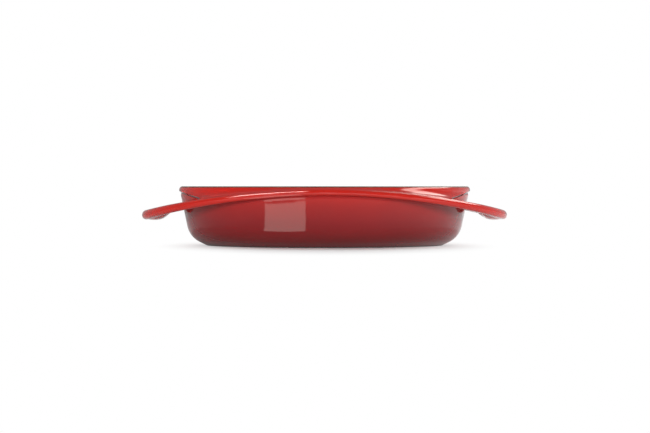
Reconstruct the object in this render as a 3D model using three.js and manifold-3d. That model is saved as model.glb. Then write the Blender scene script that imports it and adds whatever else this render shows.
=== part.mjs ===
// Tarte tatin dish: a shallow enamelled iron casting whose arched wing widens into two loop handles.
// Millimetres and degrees, +Z up, +X towards one handle, origin in the middle of the flat underneath.

import * as THREE from 'three';
import { mergeVertices } from 'three/addons/utils/BufferGeometryUtils.js';
import Module from 'manifold-3d';

// Bowl
const HEIGHT = 55;               // base to rim top
const RIM_RADIUS = 135;          // outside of the rim lip
const LIP_HEIGHT = 4.5;          // lip, from its underside to the rim top
const LIP_OVERHANG = 0.7;        // lip beyond the wall under it
const LIP_ROUND = 0.8;           // lower edge of the lip
const RIM_ROUND = 1.3;           // both edges of the rim top
const WALL_DRAFT = 12.7;         // lean of the wall from upright
const WALL_THICKNESS = 4.4;      // iron and both coats
const FLOOR_THICKNESS = 5;       // iron and both coats
const BASE_RADIUS = 109.5;       // the flat that the dish stands on
const BASE_EDGE_ROUND = 4;       // from the flat into the bevel
const BEVEL_HEIGHT = 7.35;       // bevel round the base, up to where its line meets the wall's
const CORNER_RADIUS = 21;        // outside, from the bevel into the wall
const WELL_CORNER_RADIUS = 18;   // inside, from the bevel into the wall
const WELL_FLOOR_ROUND = 14;     // inside, from the floor into the bevel

// Wing and handles
const FLANGE_WIDTH = 4;          // wing beyond the lip, at the front and the back
const FINGER_GAP = 13;           // lip to grip, at the middle of a handle
const GRIP_WIDTH = 22;           // grip, at the middle of a handle
const GRIP_ROOT_WIDTH = 17;      // width that the grip narrows towards, where it joins the flange
const WING_SET_DOWN = 3;         // rim top down to the crown of the wing
const TIP_DROP = 19.4;           // crown of the wing down to the handle tips
const CROWN_THICKNESS = 4.8;     // wing, at the front and the back
const TIP_THICKNESS = 8;         // wing, at the handle tips
const EDGE_ROUND = 3.4;          // edges of the wing, the grips and the finger slots
const SLOT_END_RADIUS = 5;       // ends of the finger slots
const ROOT_FILLET = 6.5;         // hollow between the wing and the rim lip
const APRON_EDGE = 2.4;          // depth of the hollow's edge where a slot cuts it off
const SWELL_WIDTH = 18.5;        // swelling under each grip, for the fingertips
const SWELL_DEPTH = 3.6;         // the swelling's level underside, below the middle of the grip
const SWELL_HALF_LENGTH = 28;    // the swelling, from its middle to its end
const SWELL_INSET = 0.8;         // slot to swelling
const SWELL_FADE = 0.15;         // share of its depth that the swelling's ends sink into the wing
const SWELL_FLATNESS = 0.5;      // 1 is an oval section, and less is flatter underneath with blunter ends

// Enamel
const COAT = 0.5;                // each fired coat
const SEAM = 0.3;                // clearance between a coat and its neighbours
const RIM_BAND = 1;              // bare rim coat, down from the rim top
const BASE_LAP = 1.5;            // base coat, beyond the flat

// Facets
const SEGMENTS = 48;             // round the bowl and the wing
const SLOT_STEPS = 10;           // along each side of a slot
const SLOT_END_STEPS = 3;        // round each end of a slot
const ROOT_STEPS = 3;            // across the root hollow
const SWELL_STEPS = 8;           // along a swelling
const SWELL_FACES = 6;           // round a swelling
const EDGE_ANGLES = [70, 10];    // points on each round of the wing's edge, 0 upright and 90 level
const ARC_TOLERANCE = 0.36;      // an arc's chord may lie this far inside it
const ROUND_LIMIT = 0.46;        // most of a thickness or a gap that one round takes up
const LEAST_BEND = 0.01;         // what is left of the hollow's curve, as a share, under the lip
const PASSES = 40;               // of each search for a place where two surfaces meet

const wasm = await Module();
wasm.setup();

const radians = THREE.MathUtils.degToRad;
const lerp = THREE.MathUtils.lerp;
const clamp = THREE.MathUtils.clamp;
const vec2 = (x, y) => new THREE.Vector2(x, y);

// Solids

// A closed geometry as a solid, with its faces turned outwards.
function solidOf(geometry) {
  geometry.deleteAttribute('normal');
  geometry.deleteAttribute('uv');
  const merged = mergeVertices(geometry);
  const place = merged.attributes.position;
  const corners = [];
  let volume = 0;
  for (let i = 0; i < merged.index.count; i += 3) {
    const [a, b, c] = [0, 1, 2].map((k) => merged.index.getX(i + k));
    if (a === b || b === c || c === a) continue;
    corners.push(a, b, c);
    const [p, q, r] = [a, b, c].map((k) => new THREE.Vector3().fromBufferAttribute(place, k));
    volume += p.dot(q.cross(r));
  }
  if (volume < 0) corners.reverse();
  const mesh = { numProp: 3, vertProperties: place.array, triVerts: Uint32Array.from(corners) };
  return new wasm.Manifold(new wasm.Mesh(mesh));
}

// A profile of radius and height, turned about the Z axis.
function turned(profile) {
  return solidOf(new THREE.LatheGeometry(profile, SEGMENTS).rotateX(Math.PI / 2));
}

function disc(radius, bottom, top) {
  return turned([vec2(0, bottom), vec2(radius, bottom), vec2(radius, top), vec2(0, top)]);
}

// A skin through rings of points: a closed loop of rings, or a stack capped by its first and last ring,
// which flatten turns into plan points.
function lofted(rings, flatten = null) {
  const count = rings[0].length;
  const spans = flatten ? rings.length - 1 : rings.length;
  const index = [];
  for (let i = 0; i < spans; i += 1) {
    const low = i * count;
    const high = ((i + 1) % rings.length) * count;
    for (let j = 0; j < count; j += 1) {
      const k = (j + 1) % count;
      index.push(low + j, low + k, high + k, low + j, high + k, high + j);
    }
  }
  if (flatten) {
    const plan = rings[0].map(flatten);
    const last = (rings.length - 1) * count;
    for (const [a, b, c] of THREE.ShapeUtils.triangulateShape(plan, [])) {
      const [second, third] = THREE.ShapeUtils.isClockWise(plan) ? [c, b] : [b, c];
      index.push(a, third, second);
      index.push(last + a, last + second, last + third);
    }
  }
  const geometry = new THREE.BufferGeometry().setFromPoints(rings.flat());
  geometry.setIndex(index);
  return solidOf(geometry);
}

// Bowl

// Straight edges of the bowl's section, each a point and a heading, with the material on the left.
const wallTop = vec2(RIM_RADIUS - LIP_OVERHANG, HEIGHT - LIP_HEIGHT);
const upWall = vec2(Math.sin(radians(WALL_DRAFT)), Math.cos(radians(WALL_DRAFT)));
const flatEdge = vec2(BASE_RADIUS, 0);
const upBevel = vec2(wallOutside(BEVEL_HEIGHT), BEVEL_HEIGHT).sub(flatEdge).normalize();
const edges = {
  base: { at: vec2(0, 0), along: vec2(1, 0) },
  bevel: { at: flatEdge, along: upBevel },
  wall: { at: wallTop, along: upWall },
  underLip: { at: wallTop, along: vec2(Math.SQRT1_2, Math.SQRT1_2) },
  lip: { at: vec2(RIM_RADIUS, 0), along: vec2(0, 1) },
  rimTop: { at: vec2(0, HEIGHT), along: vec2(-1, 0) },
  well: { at: insetPoint(wallTop, upWall, WALL_THICKNESS), along: upWall.clone().negate() },
  wellBevel: { at: insetPoint(flatEdge, upBevel, WALL_THICKNESS), along: upBevel.clone().negate() },
  wellFloor: { at: vec2(0, FLOOR_THICKNESS), along: vec2(-1, 0) },
};

// Radius of the outside of the wall at a height.
function wallOutside(height) {
  return wallTop.x + (height - wallTop.y) * Math.tan(radians(WALL_DRAFT));
}

function insetPoint(at, along, inset) {
  return vec2(at.x - along.y * inset, at.y + along.x * inset);
}

// The corner where two edges meet once both are moved into the material.
function corner(first, second, inset) {
  const p = insetPoint(first.at, first.along, inset);
  const q = insetPoint(second.at, second.along, inset);
  const reach = q.sub(p).cross(second.along) / first.along.cross(second.along);
  return p.addScaledVector(first.along, reach);
}

function turnBetween(first, second) {
  return Math.atan2(first.along.cross(second.along), first.along.dot(second.along));
}

// Points round a corner: an outer radius shrinks with the inset, and a hollow one grows.
function roundedCorner(first, second, radius, inset) {
  const tip = corner(first, second, inset);
  const turn = turnBetween(first, second);
  const side = Math.sign(turn);
  const bend = Math.max(radius - side * inset, 0);
  if (radius === 0 || bend === 0) return [tip];
  const start = tip.addScaledVector(first.along, -bend * Math.tan(Math.abs(turn) / 2));
  const middle = insetPoint(start, first.along, side * bend);
  const widest = 2 * Math.acos(1 - Math.min(ARC_TOLERANCE / radius, 1));
  const steps = Math.ceil(Math.abs(turn) / widest);
  const points = [];
  for (let i = 0; i <= steps; i += 1) {
    points.push(start.clone().rotateAround(middle, (turn * i) / steps));
  }
  return points;
}

// The rounds at a bevel's two ends, kept as small as its length needs: first the flat's, then the wall's.
function bevelRounds(flat, bevel, wall, flatRadius, wallRadius) {
  const length = corner(flat, bevel, 0).distanceTo(corner(bevel, wall, 0));
  const flatShare = Math.tan(Math.abs(turnBetween(flat, bevel)) / 2);
  const wallShare = Math.tan(Math.abs(turnBetween(bevel, wall)) / 2);
  const flatRound = Math.min(flatRadius, (ROUND_LIMIT * length) / flatShare);
  return [flatRound, Math.min(wallRadius, (length - flatRound * flatShare) / wallShare)];
}

const rimWidth = RIM_RADIUS - corner(edges.rimTop, edges.well, 0).x;
const rimRound = Math.min(RIM_ROUND, ROUND_LIMIT * rimWidth);
const [baseRound, wallRound] = bevelRounds(
  edges.base, edges.bevel, edges.wall, BASE_EDGE_ROUND, CORNER_RADIUS,
);
const [wellFloorRound, wellRound] = bevelRounds(
  edges.wellFloor, edges.wellBevel, edges.well, WELL_FLOOR_ROUND, WELL_CORNER_RADIUS,
);

// The inside of the bowl from the rim down to the middle of the floor.
function wellLine(inset) {
  const { well, wellBevel, wellFloor } = edges;
  return [
    ...roundedCorner(well, wellBevel, wellRound, inset),
    ...roundedCorner(wellBevel, wellFloor, wellFloorRound, inset),
    vec2(0, FLOOR_THICKNESS - inset),
  ];
}

function bowl(inset) {
  const { base, bevel, wall, underLip, lip, rimTop, well } = edges;
  return turned([
    vec2(0, inset),
    ...roundedCorner(base, bevel, baseRound, inset),
    ...roundedCorner(bevel, wall, wallRound, inset),
    ...roundedCorner(wall, underLip, 0, inset),
    ...roundedCorner(underLip, lip, LIP_ROUND, inset),
    ...roundedCorner(lip, rimTop, rimRound, inset),
    ...roundedCorner(rimTop, well, rimRound, inset),
    ...wellLine(inset),
  ]);
}

// Everything inside the middle of the bowl's wall and floor.
function insideOfWall() {
  const depth = Math.min(WALL_THICKNESS, FLOOR_THICKNESS) / 2;
  const above = HEIGHT + RIM_BAND;
  return turned([
    vec2(0, above),
    vec2(corner(edges.rimTop, edges.well, depth).x, above),
    ...wellLine(depth),
  ]);
}

// Wing

const halfLength = RIM_RADIUS + FINGER_GAP + GRIP_WIDTH;
const halfWidth = RIM_RADIUS + FLANGE_WIDTH;

const archShare = (x) => (x / halfLength) ** 2;
const wingTop = (x) => HEIGHT - WING_SET_DOWN - TIP_DROP * archShare(x);
const wingThickness = (x) => lerp(CROWN_THICKNESS, TIP_THICKNESS, archShare(x));
const wingBottom = (x) => wingTop(x) - wingThickness(x);
const edgeRound = (x) => Math.min(EDGE_ROUND, ROUND_LIMIT * wingThickness(x));

// A point of an ellipse, with its outward normal.
function ellipseAt(halfX, halfY, angle) {
  const at = vec2(halfX * Math.cos(angle), halfY * Math.sin(angle));
  const out = vec2(Math.cos(angle) / halfX, Math.sin(angle) / halfY).normalize();
  return { at, out };
}

// Radius of the middle of the bowl's wall at a height.
function wallMiddle(height) {
  return wallOutside(height) - WALL_THICKNESS / 2;
}

// Plan point in the middle of the wall, where the wing's top or bottom meets it.
function wingRoot(heading, level) {
  let radius = RIM_RADIUS;
  for (let i = 0; i < PASSES; i += 1) {
    radius = wallMiddle(level(radius * Math.cos(heading)));
  }
  return vec2(radius * Math.cos(heading), radius * Math.sin(heading));
}

// A point beside the wing's edge: a quarter round of the top or bottom edge, from upright (0) to level (90).
function onRound(edge, angle, level, inset) {
  const round = edgeRound(edge.at.x);
  const bend = round - inset;
  const plan = edge.at.clone().addScaledVector(edge.out, bend * Math.cos(radians(angle)) - round);
  const rise = bend * Math.sin(radians(angle)) - round;
  const z = level === 'top' ? wingTop(plan.x) + rise : wingBottom(plan.x) - rise;
  return new THREE.Vector3(plan.x, plan.y, z);
}

// The wing without its slots: a ring from inside the wall to the outline.
function wingRing(inset) {
  const rings = [];
  for (let i = 0; i < SEGMENTS; i += 1) {
    const edge = ellipseAt(halfLength, halfWidth, (2 * Math.PI * i) / SEGMENTS);
    const topRoot = wingRoot(edge.at.angle(), wingTop);
    const bottomRoot = wingRoot(edge.at.angle(), wingBottom);
    const above = (plan) => new THREE.Vector3(plan.x, plan.y, wingTop(plan.x) - inset);
    const below = (plan) => new THREE.Vector3(plan.x, plan.y, wingBottom(plan.x) + inset);
    rings.push([
      above(topRoot),
      above(topRoot.clone().lerp(edge.at, 0.5)),
      ...EDGE_ANGLES.map((angle) => onRound(edge, angle, 'top', inset)),
      ...EDGE_ANGLES.toReversed().map((angle) => onRound(edge, angle, 'bottom', inset)),
      below(bottomRoot.clone().lerp(edge.at, 0.5)),
      below(bottomRoot),
    ]);
  }
  return lofted(rings);
}

// Finger slots

const slotHalfX = halfLength - GRIP_WIDTH;
const slotHalfY = halfWidth - GRIP_ROOT_WIDTH;
const slotInside = wingRoot(0, wingBottom).length();
const slotEndRadius = Math.min(SLOT_END_RADIUS, ROUND_LIMIT * (slotHalfX - slotInside));

// Where a slot's round end touches the grip's inner edge: the angle on that ellipse, and the end's centre.
function slotEnd() {
  let low = 0;
  let high = Math.PI / 2;
  let centre = null;
  for (let i = 0; i < PASSES; i += 1) {
    const angle = (low + high) / 2;
    const { at, out } = ellipseAt(slotHalfX, slotHalfY, angle);
    centre = at.addScaledVector(out, -slotEndRadius);
    if (centre.length() > slotInside + slotEndRadius) low = angle;
    else high = angle;
  }
  return { angle: low, centre };
}

const slotStop = slotEnd();

// The slot's outline in plan on the +X side, with normals into the iron round it.
function slotOutline() {
  const outline = [];
  const stopHeading = slotStop.centre.angle();
  const touch = ellipseAt(slotHalfX, slotHalfY, slotStop.angle).out.angle();
  for (let i = 0; i <= SLOT_STEPS; i += 1) {
    const angle = lerp(-slotStop.angle, slotStop.angle, i / SLOT_STEPS);
    outline.push(ellipseAt(slotHalfX, slotHalfY, angle));
  }
  const turnRound = (side) => {
    const centre = vec2(slotStop.centre.x, side * slotStop.centre.y);
    const bend = [];
    for (let i = 1; i < SLOT_END_STEPS; i += 1) {
      const heading = lerp(touch, stopHeading + Math.PI, i / SLOT_END_STEPS);
      const out = vec2(Math.cos(heading), side * Math.sin(heading));
      bend.push({ at: centre.clone().addScaledVector(out, slotEndRadius), out });
    }
    return bend;
  };
  outline.push(...turnRound(1));
  for (let i = 0; i <= SLOT_STEPS; i += 1) {
    const heading = lerp(stopHeading, -stopHeading, i / SLOT_STEPS);
    const out = vec2(-Math.cos(heading), -Math.sin(heading));
    outline.push({ at: out.clone().multiplyScalar(-slotInside), out });
  }
  outline.push(...turnRound(-1).reverse());
  return outline;
}

// What is cut away for a slot: its outline, flared above and below so that the edges it leaves are round.
function slotCut(side, inset) {
  const outline = slotOutline();
  const flare = [[70, EDGE_ROUND], [50, 0], [0, 0]];
  const levelRing = (level, [angle, beyond]) => outline.map(({ at, out }) => {
    const edge = { at: vec2(side * at.x, at.y), out: vec2(-side * out.x, -out.y) };
    const point = onRound(edge, angle, level, inset);
    const rise = level === 'top' ? 1 : -1;
    point.x -= edge.out.x * beyond;
    point.y -= edge.out.y * beyond;
    point.z += rise * beyond;
    return point;
  });
  const rings = [
    ...flare.map((stage) => levelRing('top', stage)),
    ...flare.toReversed().map((stage) => levelRing('bottom', stage)),
  ];
  return lofted(rings, (point) => vec2(point.x, point.y));
}

// Hollow between wing and rim

// Its foot lies on the wing, and over a slot it climbs in a straight line to the lip's underside.
function hollowFoot(x) {
  const stop = slotStop.centre.x;
  const share = Math.min((Math.abs(x) - stop) / (RIM_RADIUS - stop), 1);
  const apron = lerp(wingTop(stop), HEIGHT - LIP_HEIGHT, share) + APRON_EDGE;
  return Math.max(wingTop(x), apron);
}

function rootHollow(inset) {
  const tuck = LIP_OVERHANG / 2;
  const face = RIM_RADIUS - tuck;
  const rings = [];
  for (let i = 0; i < SEGMENTS; i += 1) {
    const heading = (2 * Math.PI * i) / SEGMENTS;
    const bend = Math.min(ROOT_FILLET, HEIGHT - RIM_ROUND - wingTop(face * Math.cos(heading)));
    const x = (face + bend) * Math.cos(heading);
    const foot = hollowFoot(x);
    const arcTop = Math.max(wingTop(x) + bend, foot);
    const sink = clamp((wingTop(x) + bend - foot) / bend, LEAST_BEND, 1);
    const sweep = Math.min(Math.asin(sink), Math.acos(inset / (bend + inset)));
    const top = Math.max(arcTop, HEIGHT - LIP_HEIGHT / 2) + tuck;
    const section = [vec2(wallMiddle(top), top), vec2(face - inset, top)];
    for (let k = 0; k <= ROOT_STEPS; k += 1) {
      const angle = (sweep * k) / ROOT_STEPS;
      const reach = face + bend - (bend + inset) * Math.cos(angle);
      section.push(vec2(reach, arcTop - (bend + inset) * Math.sin(angle)));
    }
    const end = section[section.length - 1];
    const bottom = foot - APRON_EDGE + inset;
    section.push(vec2(end.x, bottom), vec2(wallMiddle(bottom), bottom));
    rings.push(section.map((p) => {
      return new THREE.Vector3(p.x * Math.cos(heading), p.x * Math.sin(heading), p.y);
    }));
  }
  return lofted(rings);
}

// Swelling under a grip

function gripSwell(side, inset) {
  const half = SWELL_WIDTH / 2;
  const middle = GRIP_WIDTH - SWELL_INSET - half;
  const level = wingBottom(halfLength - middle) - SWELL_DEPTH;
  const stop = Math.asin(SWELL_HALF_LENGTH / halfWidth);
  const rings = [];
  for (let i = 0; i <= SWELL_STEPS; i += 1) {
    const along = lerp(-1, 1, i / SWELL_STEPS);
    const { at, out } = ellipseAt(halfLength, halfWidth, along * stop);
    const centre = at.addScaledVector(out, -middle);
    const swell = lerp(-SWELL_FADE, 1, Math.cos((along * Math.PI) / 2) ** SWELL_FLATNESS);
    const ring = [];
    for (let k = 0; k <= SWELL_FACES; k += 1) {
      const angle = (Math.PI * k) / SWELL_FACES;
      const plan = centre.clone().addScaledVector(out, (inset - half) * Math.cos(angle));
      const bottom = wingBottom(plan.x);
      const depth = (bottom - level) * swell - inset;
      const z = lerp(bottom + 2 * (COAT + SEAM), bottom - depth, Math.sin(angle) ** SWELL_FLATNESS);
      ring.push(new THREE.Vector3(side * plan.x, plan.y, z));
    }
    const buried = centre.clone();
    const z = wingBottom(buried.x) + wingThickness(buried.x) / 2;
    ring.push(new THREE.Vector3(side * buried.x, buried.y, z));
    rings.push(ring);
  }
  return lofted(rings, (point) => vec2(point.x, point.z));
}

// Dish and coats

// The whole dish with every face moved inwards.
function dish(inset) {
  const wing = wingRing(inset).subtract(slotCut(1, inset)).subtract(slotCut(-1, inset));
  const grips = gripSwell(1, inset).add(gripSwell(-1, inset));
  return bowl(inset).add(wing.add(rootHollow(inset)).add(grips));
}

function enamelCoats() {
  const coat = dish(0).subtract(dish(COAT));
  const wide = 2 * halfLength;
  const high = 2 * HEIGHT;
  const rimEdge = HEIGHT - RIM_BAND;
  const baseEdge = BASE_RADIUS + BASE_LAP;
  const below = coat.subtract(disc(wide, rimEdge - SEAM, high));
  const inside = insideOfWall();
  return {
    rim: coat.intersect(disc(wide, rimEdge, high)),
    interior: below.intersect(inside),
    base: below.intersect(disc(baseEdge, -COAT, FLOOR_THICKNESS / 2)),
    exterior: below.subtract(inside).subtract(disc(baseEdge + SEAM, -COAT, FLOOR_THICKNESS / 2)),
  };
}

// Assembly

function named(name, solid, finish) {
  const { vertProperties, triVerts } = solid.getMesh();
  const geometry = new THREE.BufferGeometry();
  geometry.setAttribute('position', new THREE.BufferAttribute(vertProperties, 3));
  geometry.setIndex(new THREE.BufferAttribute(triVerts, 1));
  geometry.computeVertexNormals();
  const mesh = new THREE.Mesh(geometry, new THREE.MeshStandardMaterial(finish));
  mesh.name = name;
  return mesh;
}

const bareIron = { color: '#4a4846', roughness: 0.75, metalness: 0.9 };
const redGloss = { color: '#b01018', roughness: 0.12, metalness: 0 };
const satinBlack = { color: '#1c1b1b', roughness: 0.45, metalness: 0 };
const darkRim = { color: '#35332f', roughness: 0.55, metalness: 0 };
const darkRed = { color: '#4a1214', roughness: 0.35, metalness: 0 };

const coats = enamelCoats();
const tatinDish = new THREE.Group();
tatinDish.add(
  named('iron_casting', dish(COAT + SEAM), bareIron),
  named('exterior_enamel', coats.exterior, redGloss),
  named('interior_enamel', coats.interior, satinBlack),
  named('rim_enamel', coats.rim, darkRim),
  named('base_enamel', coats.base, darkRed),
);

export default tatinDish;
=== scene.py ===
"""Tarte tatin dish in enamelled cast iron: its enamel coats and finishes, in a plain pale studio."""

import math

import bmesh
import bpy
import numpy as np
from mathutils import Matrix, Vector


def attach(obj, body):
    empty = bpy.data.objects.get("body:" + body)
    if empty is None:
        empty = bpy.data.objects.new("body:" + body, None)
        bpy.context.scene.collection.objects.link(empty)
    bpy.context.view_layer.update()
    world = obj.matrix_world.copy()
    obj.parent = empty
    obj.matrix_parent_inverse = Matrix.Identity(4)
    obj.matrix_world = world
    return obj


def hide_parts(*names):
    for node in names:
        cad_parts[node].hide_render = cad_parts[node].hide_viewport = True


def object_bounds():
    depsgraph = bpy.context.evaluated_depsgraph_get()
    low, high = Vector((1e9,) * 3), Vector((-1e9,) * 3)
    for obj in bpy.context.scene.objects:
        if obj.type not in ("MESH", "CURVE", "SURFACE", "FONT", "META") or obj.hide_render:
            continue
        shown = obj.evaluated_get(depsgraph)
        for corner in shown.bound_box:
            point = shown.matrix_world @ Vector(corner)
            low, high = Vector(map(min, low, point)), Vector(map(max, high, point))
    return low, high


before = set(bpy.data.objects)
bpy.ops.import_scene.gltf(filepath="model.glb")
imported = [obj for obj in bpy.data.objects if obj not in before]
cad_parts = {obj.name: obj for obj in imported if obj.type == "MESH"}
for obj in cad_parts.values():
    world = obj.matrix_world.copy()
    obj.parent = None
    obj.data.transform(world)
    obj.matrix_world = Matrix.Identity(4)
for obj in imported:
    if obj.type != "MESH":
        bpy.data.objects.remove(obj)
cad_low, cad_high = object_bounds()

# Sizes in millimetres and degrees. The overall ones come from the frame.
MM = 0.001
HALF_LENGTH = cad_high.x / MM
HALF_WIDTH = cad_high.y / MM
HEIGHT = cad_high.z / MM

# Bowl
RIM_RADIUS = 135.5          # outside of the rim lip
LIP_HEIGHT = 4.5            # lip, from its underside to the rim top
LIP_OVERHANG = 0.9          # lip beyond the wall under it
LIP_ROUND = 0.8             # lower edge of the lip
LIP_TOP_ROUND = 3.2         # outer edge of the rim top
RIM_ROUND = 1.3             # inner edge of the rim top
WALL_DRAFT = 11.6           # lean of the wall from upright, outside
WELL_DRAFT = 12.7           # and inside
WELL_RADIUS = 129.8         # the well, level with the lip's underside
WELL_FLOOR = 5              # thickness under the well
BEVEL_THICKNESS = 4.4       # from the bevel outside to the one inside
BASE_RADIUS = 109.5         # the flat that the dish stands on
BASE_EDGE_ROUND = 4         # from the flat into the bevel
BEVEL_ANGLE = 26            # rise of the bevel round the base
CORNER_RADIUS = 21          # outside, from the bevel into the wall
WELL_CORNER_RADIUS = 18     # inside, from the bevel into the wall
WELL_FLOOR_ROUND = 14       # inside, from the floor into the bevel
GROOVE_RADIUS = 1.6         # hollow line under the lip
GROOVE_DEPTH = 0.8
GROOVE_DROP = 1.3           # lip's underside down to the middle of the groove
GROOVE_EDGE = 1.2           # round on both sides of the groove

# Wing and handles
GRIP_WIDTH = 22             # grip, at the middle of a handle
GRIP_ROOT_WIDTH = 17        # width that the grip narrows towards, where it joins the flange
WING_SET_DOWN = 3           # rim top down to the crown of the wing
TIP_DROP = 19.4             # crown of the wing down to the handle tips, along an even arch
TIP_BEND = 0.5              # how much further the tips bend down
TIP_BEND_START = 140        # where that starts, from the middle
CROWN_THICKNESS = 5.2       # wing, at the front and the back
TIP_THICKNESS = 9.1         # wing, at the handle tips
EDGE_ROUND = 3.4            # upper edges of the wing and the grips, and the finger slots
EDGE_SHARE = 0.42           # most of the wing's thickness that such a round takes up
UNDER_ROUND = 2.2           # lower edge of the wing, at the front and the back
TIP_UNDER_ROUND = 5         # lower edge of the wing, at the handle tips
UNDER_ROUND_START = 60      # where it starts to grow, from the middle
ROOT_FILLET = 6.5           # hollow between the wing and the rim lip
ROOT_RISE = 0.5             # where the wing is near the rim top, it is drawn to this far above that
ROOT_LEAST = 1              # least radius of the hollow
UNDER_FILLET = 3            # hollow between the wing and the wall under it
UNDER_FILLET_END = 0.4      # its radius where it ends, at a slot
UNDER_FADE = 14             # from a slot to where it is whole
SLOT_INSIDE = 128.4         # radius of a slot's inner side, within the wall
SLOT_END_RADIUS = 5
SLOT_END_STEPS = 5000       # steps along the grip's inner edge, to find a slot's end
SLOT_EDGE_RISE = 0.35       # round of a slot's edge, for each millimetre that it lies from the bowl
SLOT_FILLET = 1.5           # hollow where a slot meets the wall
APRON_EDGE = 2.4            # depth of the hollow's edge where a slot cuts it off
APRON_ROUND = 0.8           # its lower edge
APRON_ROOT = 1              # how far the hollow's back starts within the wing and the lip
CREVICE = 1.6               # reach of the painted shade, a dark line where the wall meets the hollow's edge
CREVICE_FADE = 0.5          # how far it fades to both sides of the slot's outline
SWELL_WIDTH = 19.8          # swelling under each grip, for the fingertips
SWELL_DEPTH = 2.5           # its level underside, below the middle of the grip
SWELL_HALF_LENGTH = 26      # along the grip
SWELL_INSET = 0.4           # slot to swelling
SWELL_ROOT = 1.6            # how far the swelling starts within the wing
SWELL_END = 0.3             # its depth at its ends, within the wing
SWELL_POWER = 4.4           # 2 is an oval section, and more is flatter underneath
SWELL_FILLET = 1            # hollow between the swelling and the grip

# Enamel
COAT = 0.5                  # each fired coat
RIM_BAND = 1.0              # bare rim coat, down the outside from the rim top
WELL_BAND = 1.6             # and down the inside
BASE_LAP = 1.6              # base coat, beyond the flat
SEAM = 0.02                 # between one coat and the next

# Grid that the exterior coat is found on
HEADINGS = 368              # round the dish
HEADING_STEPS = 7200        # fine steps that they are shared out over
SLOT_END_HEADING = 29       # where headings lie closer, at the slots' ends
SLOT_END_SPREAD = 9         # over how many degrees
SLOT_END_DENSITY = 2.2      # how much closer
WALL_RINGS = (108, 133, 19)     # from, to and count, out from the axis
LIP_RINGS = (133.7, 137.5, 6)
WING_RINGS = 27             # from there to the wing's edge
WING_MARGIN = 2             # grid beyond the wing's edge
WALL_LEVELS = (-1, 38, 20)      # from, to and count, up from the base
WING_LEVELS = (38.8, 57, 27)
ARCH_START = 136            # the grid's levels bend with the wing's arch between these radii
ARCH_END = 147
SETTLE_PASSES = 5           # that move the found points onto the surface
PROBE = 0.02                # step for slopes
CURVE_PROBE = 0.4           # step for curvature
TINY = 1e-9                 # keeps a slope of 0 from being divided by

# Steps of the turned coats
TURNED_SEGMENTS = 256       # round the dish
ARC_STEP = 6                # degrees of one step on an arc
SHARP_ANGLE = 35            # degrees past which an edge stays sharp
WELD = 1e-6                 # metres within which points merge, on the axis

# Colours, as linear light
# red by its rise: partly the enamel's own ombré to burgundy at the base, partly painted shade and light
# on the lower wall and the bevel
RED_OMBRE_AND_PAINTED_SHADE_STOPS = (
    (0.0, (0.20, 0.011, 0.012)),
    (0.15, (0.18, 0.009, 0.010)),
    (0.45, (0.25, 0.009, 0.011)),
    (0.75, (0.37, 0.012, 0.011)),
    (1.0, (0.57, 0.018, 0.011)),
)
THIN_RED = (0.42, 0.014, 0.008, 1)
POOLED_RED = (0.36, 0.004, 0.010, 1)
# near-black red painted in the crevice over each slot as its shade
CREVICE_PAINTED_SHADE = (0.012, 0.003, 0.003, 1)
SOOT_BLACK = (0.008, 0.008, 0.008, 1)
WARM_BLACK = (0.020, 0.018, 0.017, 1)
GREY_SPECK = (0.035, 0.034, 0.033, 1)
RIM_DARK = (0.048, 0.033, 0.020, 1)
RIM_PALE = (0.100, 0.070, 0.042, 1)
BASE_DARK = (0.035, 0.007, 0.008, 1)
BASE_RED = (0.075, 0.010, 0.012, 1)
BASE_WORN = (0.12, 0.045, 0.042, 1)
IRON_DARK = (0.05, 0.048, 0.046, 1)
IRON_PALE = (0.11, 0.105, 0.10, 1)

# Finishes
UNEVEN = 0.16               # how far the mottle shifts the red up and down the wall
THIN_BENDS = (0.2, 0.6)     # curvature per millimetre over which the red turns thin, on an edge
THIN_SHARE = 0.35           # share of the thin red there
POOLED_BENDS = (-0.05, -0.3)    # and over which it pools, in a hollow
POOLED_SHARE = 0.3
CLEAR_SHARE = 0.72          # share of the cells that have no speck
RUBBED = (0.35, 0.65)       # mottle over which the rim coat is rubbed pale
SCUFFED = (0.48, 0.62)      # mottle over which the base shows scuffs
SCUFF_SHARE = 0.5           # share of the worn colour in them

# Camera and studio, in metres
VIEW_TURN = 0.9             # degrees that camera, lamps and cards stand round the dish to the left
LENS = 158.8                # millimetres
SENSOR = 36                 # millimetres across
CAMERA_DISTANCE = 2.675     # from the middle of the dish
AIM_HEIGHT = 0.02685        # that camera and lamps point at
ASIDE = 0.0004              # camera, to the right of the dish's middle
AMBIENT = 0.35              # soft light from all round
FRONT = 0.10                # what a gloss mirrors of the surroundings in front, where 1 is white
BACK_LEFT = 0.30            # and behind
BACK_RIGHT = 0.48
BACK_SIDES = (-0.6, 0.6)    # x of a direction, from the left value to the right one
BACK_START = (-0.5, 0.8)    # y of a direction, from the front value to the one behind
LAMPS = {                   # place, width and height, and light
    "back_light": ((0.0, 1.2, 0.95), (2.0, 1.1), 0.75),
    "front_fill": ((0.0, -2.0, 0.4), (1.6, 0.5), 0.34),
    "left_fill": ((-1.5, -1.2, 0.15), (0.8, 0.3), 0.30),
    "right_fill": ((1.8, -0.4, 0.15), (0.8, 0.3), 0.45),
}
RIBBONS = {                 # headings from +X and heights in degrees, from and to, and radiance
    "left_ribbon": ((206, 263), (25, 46), 32),
    "right_ribbon": ((-18, 48), (24, 52), 8),
    "back_ribbon": ((58, 85), (24, 42), 9),
}
CARD_STEPS = 24             # along each card
RIBBON_REACH = 1.0          # from the middle of the rim
WINDOW_FAR = ((-0.1352, -0.1838, 0.001), (-0.0392, -0.2280, 0.001))     # ends of its far edge
WINDOW_NEAR = ((-0.0705, -0.1220, 0.001), (-0.0195, -0.1395, 0.001))    # and of its near edge
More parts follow.
